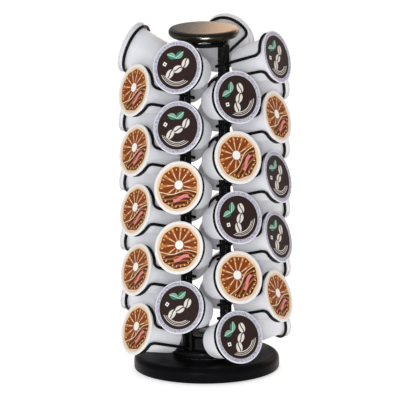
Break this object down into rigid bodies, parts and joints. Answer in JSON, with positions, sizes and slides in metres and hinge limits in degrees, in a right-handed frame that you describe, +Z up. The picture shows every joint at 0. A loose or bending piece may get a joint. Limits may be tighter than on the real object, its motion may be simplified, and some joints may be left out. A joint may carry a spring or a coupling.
{
  "type": "coffee capsule carousel",
  "caption": "Round weighted base with a hub that turns wire columns, whose open loops hold tilted coffee capsules under a disc knob.",
  "frame": {"origin": "centre of the foot ring's underside, on the carousel's turning axis", "axes": "+Z up along the turning axis; the picture is taken from -Y with +X to the right"},
  "size_m": [0.166, 0.166, 0.3345],
  "materials": {
    "black_enamel": "gloss black enamel on steel wire",
    "base_black": "satin to gloss black moulding",
    "black_gloss_plastic": "high gloss black moulding",
    "cast_iron": "plain casting",
    "zinc_steel": "zinc plated",
    "foot_rubber": "matt black foam rubber",
    "capsule_dark": "grey-white moulded cup with a dark brown foil lid",
    "capsule_caramel": "grey-white moulded cup with a cream and caramel foil lid"
  },
  "bodies": {
    "base": {"base_disc": "base_black", "base_weight": "cast_iron", "base_cover": "base_black", "foot_ring": "foot_rubber", "race_lower": "zinc_steel", "spindle": "zinc_steel"},
    "ball_ring": {"ball_cage": "zinc_steel"},
    "carousel": {"hub": "black_enamel", "race_upper": "zinc_steel", "top_hoop": "black_enamel", "knob": "black_gloss_plastic", "knob_stud": "zinc_steel", "wire_column_front_right_high": "black_enamel", "wire_column_front_right_low": "black_enamel", "wire_column_back_right_high": "black_enamel", "wire_column_back_right_low": "black_enamel", "wire_column_back_left_high": "black_enamel", "wire_column_back_left_low": "black_enamel", "wire_column_front_left_high": "black_enamel", "wire_column_front_left_low": "black_enamel"},
    "capsule_front_right_high_1": {"capsule_front_right_high_1": "capsule_dark"},
    "capsule_front_right_high_2": {"capsule_front_right_high_2": "capsule_caramel"},
    "capsule_front_right_high_3": {"capsule_front_right_high_3": "capsule_dark"},
    "capsule_front_right_high_4": {"capsule_front_right_high_4": "capsule_dark"},
    "capsule_front_right_high_5": {"capsule_front_right_high_5": "capsule_caramel"},
    "capsule_front_right_low_1": {"capsule_front_right_low_1": "capsule_dark"},
    "capsule_front_right_low_2": {"capsule_front_right_low_2": "capsule_caramel"},
    "capsule_front_right_low_3": {"capsule_front_right_low_3": "capsule_dark"},
    "capsule_front_right_low_4": {"capsule_front_right_low_4": "capsule_caramel"},
    "capsule_front_right_low_5": {"capsule_front_right_low_5": "capsule_dark"},
    "capsule_back_right_high_1": {"capsule_back_right_high_1": "capsule_caramel"},
    "capsule_back_right_high_2": {"capsule_back_right_high_2": "capsule_dark"},
    "capsule_back_right_high_3": {"capsule_back_right_high_3": "capsule_dark"},
    "capsule_back_right_high_4": {"capsule_back_right_high_4": "capsule_caramel"},
    "capsule_back_right_high_5": {"capsule_back_right_high_5": "capsule_dark"},
    "capsule_back_right_low_1": {"capsule_back_right_low_1": "capsule_dark"},
    "capsule_back_right_low_2": {"capsule_back_right_low_2": "capsule_caramel"},
    "capsule_back_right_low_3": {"capsule_back_right_low_3": "capsule_dark"},
    "capsule_back_right_low_4": {"capsule_back_right_low_4": "capsule_dark"},
    "capsule_back_right_low_5": {"capsule_back_right_low_5": "capsule_caramel"},
    "capsule_back_left_high_1": {"capsule_back_left_high_1": "capsule_dark"},
    "capsule_back_left_high_2": {"capsule_back_left_high_2": "capsule_caramel"},
    "capsule_back_left_high_3": {"capsule_back_left_high_3": "capsule_dark"},
    "capsule_back_left_high_4": {"capsule_back_left_high_4": "capsule_caramel"},
    "capsule_back_left_high_5": {"capsule_back_left_high_5": "capsule_dark"},
    "capsule_back_left_low_1": {"capsule_back_left_low_1": "capsule_caramel"},
    "capsule_back_left_low_2": {"capsule_back_left_low_2": "capsule_caramel"},
    "capsule_back_left_low_3": {"capsule_back_left_low_3": "capsule_dark"},
    "capsule_back_left_low_4": {"capsule_back_left_low_4": "capsule_caramel"},
    "capsule_back_left_low_5": {"capsule_back_left_low_5": "capsule_dark"},
    "capsule_front_left_high_1": {"capsule_front_left_high_1": "capsule_dark"},
    "capsule_front_left_high_2": {"capsule_front_left_high_2": "capsule_dark"},
    "capsule_front_left_high_3": {"capsule_front_left_high_3": "capsule_caramel"},
    "capsule_front_left_high_4": {"capsule_front_left_high_4": "capsule_caramel"},
    "capsule_front_left_high_5": {"capsule_front_left_high_5": "capsule_dark"},
    "capsule_front_left_low_1": {"capsule_front_left_low_1": "capsule_caramel"},
    "capsule_front_left_low_2": {"capsule_front_left_low_2": "capsule_caramel"},
    "capsule_front_left_low_3": {"capsule_front_left_low_3": "capsule_caramel"},
    "capsule_front_left_low_4": {"capsule_front_left_low_4": "capsule_caramel"},
    "capsule_front_left_low_5": {"capsule_front_left_low_5": "capsule_caramel"}
  },
  "joints": [
    {"name": "carousel_turn", "type": "hinge", "parent": "base", "child": "carousel", "pos_m": [0, 0, 0], "axis": [0, 0, 1], "continuous": true},
    {"name": "ball_ring_turn", "type": "hinge", "parent": "base", "child": "ball_ring", "pos_m": [0, 0, 0], "axis": [0, 0, 1], "continuous": true},
    {"name": "pull_capsule_front_right_high_1", "type": "slide", "parent": "carousel", "child": "capsule_front_right_high_1", "axis": [0.8528, -0.427, 0.3007], "range_m": [0, 0.045]},
    {"name": "pull_capsule_front_right_high_2", "type": "slide", "parent": "carousel", "child": "capsule_front_right_high_2", "axis": [0.8528, -0.427, 0.3007], "range_m": [0, 0.045]},
    {"name": "pull_capsule_front_right_high_3", "type": "slide", "parent": "carousel", "child": "capsule_front_right_high_3", "axis": [0.8528, -0.427, 0.3007], "range_m": [0, 0.045]},
    {"name": "pull_capsule_front_right_high_4", "type": "slide", "parent": "carousel", "child": "capsule_front_right_high_4", "axis": [0.8528, -0.427, 0.3007], "range_m": [0, 0.045]},
    {"name": "pull_capsule_front_right_high_5", "type": "slide", "parent": "carousel", "child": "capsule_front_right_high_5", "axis": [0.8528, -0.427, 0.3007], "range_m": [0, 0.045]},
    {"name": "pull_capsule_front_right_low_1", "type": "slide", "parent": "carousel", "child": "capsule_front_right_low_1", "axis": [0.4969, -0.814, 0.3007], "range_m": [0, 0.045]},
    {"name": "pull_capsule_front_right_low_2", "type": "slide", "parent": "carousel", "child": "capsule_front_right_low_2", "axis": [0.4969, -0.814, 0.3007], "range_m": [0, 0.045]},
    {"name": "pull_capsule_front_right_low_3", "type": "slide", "parent": "carousel", "child": "capsule_front_right_low_3", "axis": [0.4969, -0.814, 0.3007], "range_m": [0, 0.045]},
    {"name": "pull_capsule_front_right_low_4", "type": "slide", "parent": "carousel", "child": "capsule_front_right_low_4", "axis": [0.4969, -0.814, 0.3007], "range_m": [0, 0.045]},
    {"name": "pull_capsule_front_right_low_5", "type": "slide", "parent": "carousel", "child": "capsule_front_right_low_5", "axis": [0.4969, -0.814, 0.3007], "range_m": [0, 0.045]},
    {"name": "pull_capsule_back_right_high_1", "type": "slide", "parent": "carousel", "child": "capsule_back_right_high_1", "axis": [0.427, 0.8528, 0.3007], "range_m": [0, 0.045]},
    {"name": "pull_capsule_back_right_high_2", "type": "slide", "parent": "carousel", "child": "capsule_back_right_high_2", "axis": [0.427, 0.8528, 0.3007], "range_m": [0, 0.045]},
    {"name": "pull_capsule_back_right_high_3", "type": "slide", "parent": "carousel", "child": "capsule_back_right_high_3", "axis": [0.427, 0.8528, 0.3007], "range_m": [0, 0.045]},
    {"name": "pull_capsule_back_right_high_4", "type": "slide", "parent": "carousel", "child": "capsule_back_right_high_4", "axis": [0.427, 0.8528, 0.3007], "range_m": [0, 0.045]},
    {"name": "pull_capsule_back_right_high_5", "type": "slide", "parent": "carousel", "child": "capsule_back_right_high_5", "axis": [0.427, 0.8528, 0.3007], "range_m": [0, 0.045]},
    {"name": "pull_capsule_back_right_low_1", "type": "slide", "parent": "carousel", "child": "capsule_back_right_low_1", "axis": [0.814, 0.4969, 0.3007], "range_m": [0, 0.045]},
    {"name": "pull_capsule_back_right_low_2", "type": "slide", "parent": "carousel", "child": "capsule_back_right_low_2", "axis": [0.814, 0.4969, 0.3007], "range_m": [0, 0.045]},
    {"name": "pull_capsule_back_right_low_3", "type": "slide", "parent": "carousel", "child": "capsule_back_right_low_3", "axis": [0.814, 0.4969, 0.3007], "range_m": [0, 0.045]},
    {"name": "pull_capsule_back_right_low_4", "type": "slide", "parent": "carousel", "child": "capsule_back_right_low_4", "axis": [0.814, 0.4969, 0.3007], "range_m": [0, 0.045]},
    {"name": "pull_capsule_back_right_low_5", "type": "slide", "parent": "carousel", "child": "capsule_back_right_low_5", "axis": [0.814, 0.4969, 0.3007], "range_m": [0, 0.045]},
    {"name": "pull_capsule_back_left_high_1", "type": "slide", "parent": "carousel", "child": "capsule_back_left_high_1", "axis": [-0.8528, 0.427, 0.3007], "range_m": [0, 0.045]},
    {"name": "pull_capsule_back_left_high_2", "type": "slide", "parent": "carousel", "child": "capsule_back_left_high_2", "axis": [-0.8528, 0.427, 0.3007], "range_m": [0, 0.045]},
    {"name": "pull_capsule_back_left_high_3", "type": "slide", "parent": "carousel", "child": "capsule_back_left_high_3", "axis": [-0.8528, 0.427, 0.3007], "range_m": [0, 0.045]},
    {"name": "pull_capsule_back_left_high_4", "type": "slide", "parent": "carousel", "child": "capsule_back_left_high_4", "axis": [-0.8528, 0.427, 0.3007], "range_m": [0, 0.045]},
    {"name": "pull_capsule_back_left_high_5", "type": "slide", "parent": "carousel", "child": "capsule_back_left_high_5", "axis": [-0.8528, 0.427, 0.3007], "range_m": [0, 0.045]},
    {"name": "pull_capsule_back_left_low_1", "type": "slide", "parent": "carousel", "child": "capsule_back_left_low_1", "axis": [-0.4969, 0.814, 0.3007], "range_m": [0, 0.045]},
    {"name": "pull_capsule_back_left_low_2", "type": "slide", "parent": "carousel", "child": "capsule_back_left_low_2", "axis": [-0.4969, 0.814, 0.3007], "range_m": [0, 0.045]},
    {"name": "pull_capsule_back_left_low_3", "type": "slide", "parent": "carousel", "child": "capsule_back_left_low_3", "axis": [-0.4969, 0.814, 0.3007], "range_m": [0, 0.045]},
    {"name": "pull_capsule_back_left_low_4", "type": "slide", "parent": "carousel", "child": "capsule_back_left_low_4", "axis": [-0.4969, 0.814, 0.3007], "range_m": [0, 0.045]},
    {"name": "pull_capsule_back_left_low_5", "type": "slide", "parent": "carousel", "child": "capsule_back_left_low_5", "axis": [-0.4969, 0.814, 0.3007], "range_m": [0, 0.045]},
    {"name": "pull_capsule_front_left_high_1", "type": "slide", "parent": "carousel", "child": "capsule_front_left_high_1", "axis": [-0.427, -0.8528, 0.3007], "range_m": [0, 0.045]},
    {"name": "pull_capsule_front_left_high_2", "type": "slide", "parent": "carousel", "child": "capsule_front_left_high_2", "axis": [-0.427, -0.8528, 0.3007], "range_m": [0, 0.045]},
    {"name": "pull_capsule_front_left_high_3", "type": "slide", "parent": "carousel", "child": "capsule_front_left_high_3", "axis": [-0.427, -0.8528, 0.3007], "range_m": [0, 0.045]},
    {"name": "pull_capsule_front_left_high_4", "type": "slide", "parent": "carousel", "child": "capsule_front_left_high_4", "axis": [-0.427, -0.8528, 0.3007], "range_m": [0, 0.045]},
    {"name": "pull_capsule_front_left_high_5", "type": "slide", "parent": "carousel", "child": "capsule_front_left_high_5", "axis": [-0.427, -0.8528, 0.3007], "range_m": [0, 0.045]},
    {"name": "pull_capsule_front_left_low_1", "type": "slide", "parent": "carousel", "child": "capsule_front_left_low_1", "axis": [-0.814, -0.4969, 0.3007], "range_m": [0, 0.045]},
    {"name": "pull_capsule_front_left_low_2", "type": "slide", "parent": "carousel", "child": "capsule_front_left_low_2", "axis": [-0.814, -0.4969, 0.3007], "range_m": [0, 0.045]},
    {"name": "pull_capsule_front_left_low_3", "type": "slide", "parent": "carousel", "child": "capsule_front_left_low_3", "axis": [-0.814, -0.4969, 0.3007], "range_m": [0, 0.045]},
    {"name": "pull_capsule_front_left_low_4", "type": "slide", "parent": "carousel", "child": "capsule_front_left_low_4", "axis": [-0.814, -0.4969, 0.3007], "range_m": [0, 0.045]},
    {"name": "pull_capsule_front_left_low_5", "type": "slide", "parent": "carousel", "child": "capsule_front_left_low_5", "axis": [-0.814, -0.4969, 0.3007], "range_m": [0, 0.045]}
  ],
  "couplings": [
    {"joint": "ball_ring_turn", "follows": "carousel_turn", "ratio": 0.5}
  ]
}
